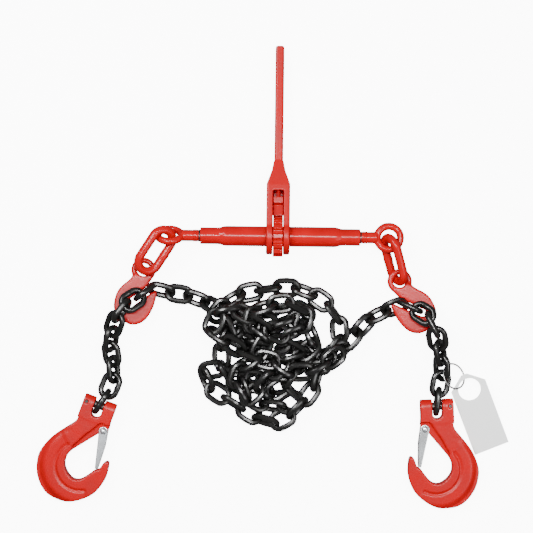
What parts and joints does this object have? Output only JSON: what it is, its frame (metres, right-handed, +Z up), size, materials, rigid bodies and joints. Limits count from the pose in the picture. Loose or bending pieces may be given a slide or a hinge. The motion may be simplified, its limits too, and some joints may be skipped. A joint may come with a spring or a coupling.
{
  "type": "load binder chain",
  "caption": "Ratchet load binder on a loop of chain: turnbuckle barrel with lever, end screws with eyes, grab hooks, chain legs and clevis sling hooks with latches, and a tag on a ring.",
  "frame": {"origin": "middle of the underside of the metalwork, on the table it lies on, measured without the chain drawn as plain tubes", "axes": "+X along the barrel from the left grab hook to the right one, +Y along the lever away from the barrel, +Z up from the table"},
  "size_m": [0.7822, 0.7626, 0.0676],
  "materials": {
    "paint": "gloss",
    "cast_paint": "satin",
    "chain": "satin",
    "steel": "satin",
    "zinc": "satin",
    "tag": "satin"
  },
  "bodies": {
    "chain_heap": {"chain_heap": "chain"},
    "barrel": {"barrel": "paint", "ratchet_wheel": "paint"},
    "lever": {"lever": "cast_paint", "pawl_pin": "steel", "detent_spring": "steel"},
    "pawl": {"pawl": "paint"},
    "detent_plunger": {"detent_plunger": "paint"},
    "eye_screw_left": {"eye_screw_left": "paint", "thread_stop_left": "steel"},
    "binder_link_left": {"binder_link_left": "paint"},
    "grab_hook_left": {"grab_hook_left": "paint", "throat_link_left": "chain"},
    "strand_left": {"chain_strand_left": "chain"},
    "leg_link_left_1": {"leg_link_left_1": "chain"},
    "leg_link_left_2": {"leg_link_left_2": "chain"},
    "leg_link_left_3": {"leg_link_left_3": "chain"},
    "leg_link_left_4": {"leg_link_left_4": "chain"},
    "leg_link_left_5": {"leg_link_left_5": "chain"},
    "leg_link_left_6": {"leg_link_left_6": "chain"},
    "leg_link_left_7": {"leg_link_left_7": "chain"},
    "leg_link_left_8": {"leg_link_left_8": "chain"},
    "sling_hook_left": {"sling_hook_left": "cast_paint", "load_pin_left": "steel", "pin_keeper_left": "steel", "latch_rivet_left": "steel"},
    "latch_left": {"latch_left": "zinc"},
    "eye_screw_right": {"eye_screw_right": "paint", "thread_stop_right": "steel"},
    "binder_link_right": {"binder_link_right": "paint"},
    "grab_hook_right": {"grab_hook_right": "paint", "throat_link_right": "chain"},
    "strand_right": {"chain_strand_right": "chain"},
    "leg_link_right_1": {"leg_link_right_1": "chain"},
    "leg_link_right_2": {"leg_link_right_2": "chain"},
    "leg_link_right_3": {"leg_link_right_3": "chain"},
    "leg_link_right_4": {"leg_link_right_4": "chain"},
    "leg_link_right_5": {"leg_link_right_5": "chain"},
    "leg_link_right_6": {"leg_link_right_6": "chain"},
    "leg_link_right_7": {"leg_link_right_7": "chain"},
    "sling_hook_right": {"sling_hook_right": "cast_paint", "load_pin_right": "steel", "pin_keeper_right": "steel", "latch_rivet_right": "steel"},
    "latch_right": {"latch_right": "zinc"},
    "tag_ring": {"tag_ring": "steel"},
    "tag": {"tag": "tag"}
  },
  "joints": [
    {"name": "barrel_turn", "type": "hinge", "parent": "chain_heap", "child": "barrel", "pos_m": [0.00336, 0.06541, 0.03349], "axis": [1, 0, 0], "range_deg": [0, 9000]},
    {"name": "lever_swing", "type": "hinge", "parent": "chain_heap", "child": "lever", "pos_m": [0.00336, 0.06541, 0.03349], "axis": [1, 0, 0], "range_deg": [0, 135]},
    {"name": "pawl_rock", "type": "hinge", "parent": "lever", "child": "pawl", "pos_m": [0.00336, 0.11527, 0.02978], "axis": [1, 0, 0], "range_deg": [-5, 5]},
    {"name": "detent_slide", "type": "slide", "parent": "lever", "child": "detent_plunger", "axis": [0, 0.9973, -0.0741], "range_m": [0, 0.0015], "deforming": ["detent_spring"]},
    {"name": "screw_left_slide", "type": "slide", "parent": "chain_heap", "child": "eye_screw_left", "axis": [-1, 0, 0], "range_m": [0, 0.1]},
    {"name": "binder_link_left_swing", "type": "hinge", "parent": "eye_screw_left", "child": "binder_link_left", "pos_m": [-0.17678, 0.07199, 0.04215], "axis": [0, 0, 1], "range_deg": [-6, 0]},
    {"name": "grab_hook_left_swing", "type": "hinge", "parent": "binder_link_left", "child": "grab_hook_left", "pos_m": [-0.2181, 0.00763, 0.04042], "axis": [0, 0, 1], "range_deg": [-6, 6]},
    {"name": "leg_left_1_bend", "type": "hinge", "parent": "grab_hook_left", "child": "leg_link_left_1", "pos_m": [-0.22258, -0.03489, 0.03023], "axis": [0, 0, 1], "range_deg": [-7, 7]},
    {"name": "leg_left_2_bend", "type": "hinge", "parent": "leg_link_left_1", "child": "leg_link_left_2", "pos_m": [-0.24348, -0.04813, 0.03947], "axis": [0, 0, -1], "range_deg": [-7, 7]},
    {"name": "leg_left_3_bend", "type": "hinge", "parent": "leg_link_left_2", "child": "leg_link_left_3", "pos_m": [-0.25914, -0.06917, 0.04207], "axis": [0, 0, 1], "range_deg": [-7, 7]},
    {"name": "leg_left_4_bend", "type": "hinge", "parent": "leg_link_left_3", "child": "leg_link_left_4", "pos_m": [-0.26744, -0.09312, 0.03523], "axis": [0, 0, -1], "range_deg": [-7, 7]},
    {"name": "leg_left_5_bend", "type": "hinge", "parent": "leg_link_left_4", "child": "leg_link_left_5", "pos_m": [-0.27085, -0.11747, 0.02589], "axis": [0, 0, 1], "range_deg": [-7, 7]},
    {"name": "leg_left_6_bend", "type": "hinge", "parent": "leg_link_left_5", "child": "leg_link_left_6", "pos_m": [-0.26651, -0.14283, 0.02056], "axis": [0, 0, -1], "range_deg": [-4, 4]},
    {"name": "leg_left_7_bend", "type": "hinge", "parent": "leg_link_left_6", "child": "leg_link_left_7", "pos_m": [-0.26502, -0.17063, 0.01912], "axis": [0, 0, 1], "range_deg": [-1, 4]},
    {"name": "leg_left_8_bend", "type": "hinge", "parent": "leg_link_left_7", "child": "leg_link_left_8", "pos_m": [-0.27592, -0.19799, 0.01887], "axis": [0, 0, -1], "range_deg": [-4, 0]},
    {"name": "sling_hook_left_swing", "type": "hinge", "parent": "leg_link_left_8", "child": "sling_hook_left", "pos_m": [-0.28813, -0.21713, 0.01888], "axis": [-0.9397, 0.342, 0], "range_deg": [0, 60]},
    {"name": "latch_left_swing", "type": "hinge", "parent": "sling_hook_left", "child": "latch_left", "pos_m": [-0.28024, -0.25891, 0.01742], "axis": [0.0137, 0.0377, -0.9992], "range_deg": [0, 32], "stiffness_Nm_per_rad": 0.02},
    {"name": "screw_right_slide", "type": "slide", "parent": "chain_heap", "child": "eye_screw_right", "axis": [1, 0, 0], "range_m": [0, 0.1]},
    {"name": "binder_link_right_swing", "type": "hinge", "parent": "eye_screw_right", "child": "binder_link_right", "pos_m": [0.18501, 0.06533, 0.03656], "axis": [0, 0, 1], "range_deg": [0, 6]},
    {"name": "grab_hook_right_swing", "type": "hinge", "parent": "binder_link_right", "child": "grab_hook_right", "pos_m": [0.20582, -0.00631, 0.01961], "axis": [0, 0, 1], "range_deg": [-3, 0]},
    {"name": "leg_right_1_bend", "type": "hinge", "parent": "grab_hook_right", "child": "leg_link_right_1", "pos_m": [0.23234, -0.05144, 0.03505], "axis": [0, 0, 1], "range_deg": [-7, 4]},
    {"name": "leg_right_2_bend", "type": "hinge", "parent": "leg_link_right_1", "child": "leg_link_right_2", "pos_m": [0.2524, -0.06337, 0.0477], "axis": [0, 0, -1], "range_deg": [-4, 0]},
    {"name": "leg_right_3_bend", "type": "hinge", "parent": "leg_link_right_2", "child": "leg_link_right_3", "pos_m": [0.26424, -0.08689, 0.05031], "axis": [0, 0, 1], "range_deg": [-7, 7]},
    {"name": "leg_right_4_bend", "type": "hinge", "parent": "leg_link_right_3", "child": "leg_link_right_4", "pos_m": [0.26946, -0.10978, 0.03861], "axis": [0, 0, -1], "range_deg": [-7, 7]},
    {"name": "leg_right_5_bend", "type": "hinge", "parent": "leg_link_right_4", "child": "leg_link_right_5", "pos_m": [0.27589, -0.1329, 0.02782], "axis": [0, 0, 1], "range_deg": [-4, 4]},
    {"name": "leg_right_6_bend", "type": "hinge", "parent": "leg_link_right_5", "child": "leg_link_right_6", "pos_m": [0.27738, -0.15994, 0.0213], "axis": [0, 0, -1], "range_deg": [0, 2.5]},
    {"name": "leg_right_7_bend", "type": "hinge", "parent": "leg_link_right_6", "child": "leg_link_right_7", "pos_m": [0.27238, -0.18888, 0.01916], "axis": [0, 0, 1], "range_deg": [-1, 1.3]},
    {"name": "sling_hook_right_swing", "type": "hinge", "parent": "leg_link_right_7", "child": "sling_hook_right", "pos_m": [0.26974, -0.21142, 0.01888], "axis": [-0.9986, -0.0523, 0], "range_deg": [0, 60]},
    {"name": "latch_right_swing", "type": "hinge", "parent": "sling_hook_right", "child": "latch_right", "pos_m": [0.24998, -0.24908, 0.01742], "axis": [0.0021, -0.0401, 0.9992], "range_deg": [0, 32], "stiffness_Nm_per_rad": 0.02},
    {"name": "tag_ring_turn", "type": "hinge", "parent": "leg_link_right_5", "child": "tag_ring", "pos_m": [0.29706, -0.16139, 0.02128], "axis": [0.5304, 0.3099, 0.7891], "range_deg": [0, 6]},
    {"name": "tag_swing", "type": "hinge", "parent": "tag_ring", "child": "tag", "pos_m": [0.30776, -0.17969, 0.02128], "axis": [0.9272, 0.3746, 0], "range_deg": [-1, 20]},
    {"name": "strand_left_swing", "type": "hinge", "parent": "grab_hook_left", "child": "strand_left", "pos_m": [-0.18464, -0.02659, 0.01469], "axis": [0, 0, 1], "range_deg": [-4, 4]},
    {"name": "strand_right_swing", "type": "hinge", "parent": "grab_hook_right", "child": "strand_right", "pos_m": [0.17536, -0.05659, 0.01469], "axis": [0, 0, 1], "range_deg": [-1, 4]}
  ],
  "couplings": [
    {"joint": "screw_left_slide", "follows": "barrel_turn", "m_per_rad": 0.00063662},
    {"joint": "screw_right_slide", "follows": "barrel_turn", "m_per_rad": 0.00063662}
  ]
}
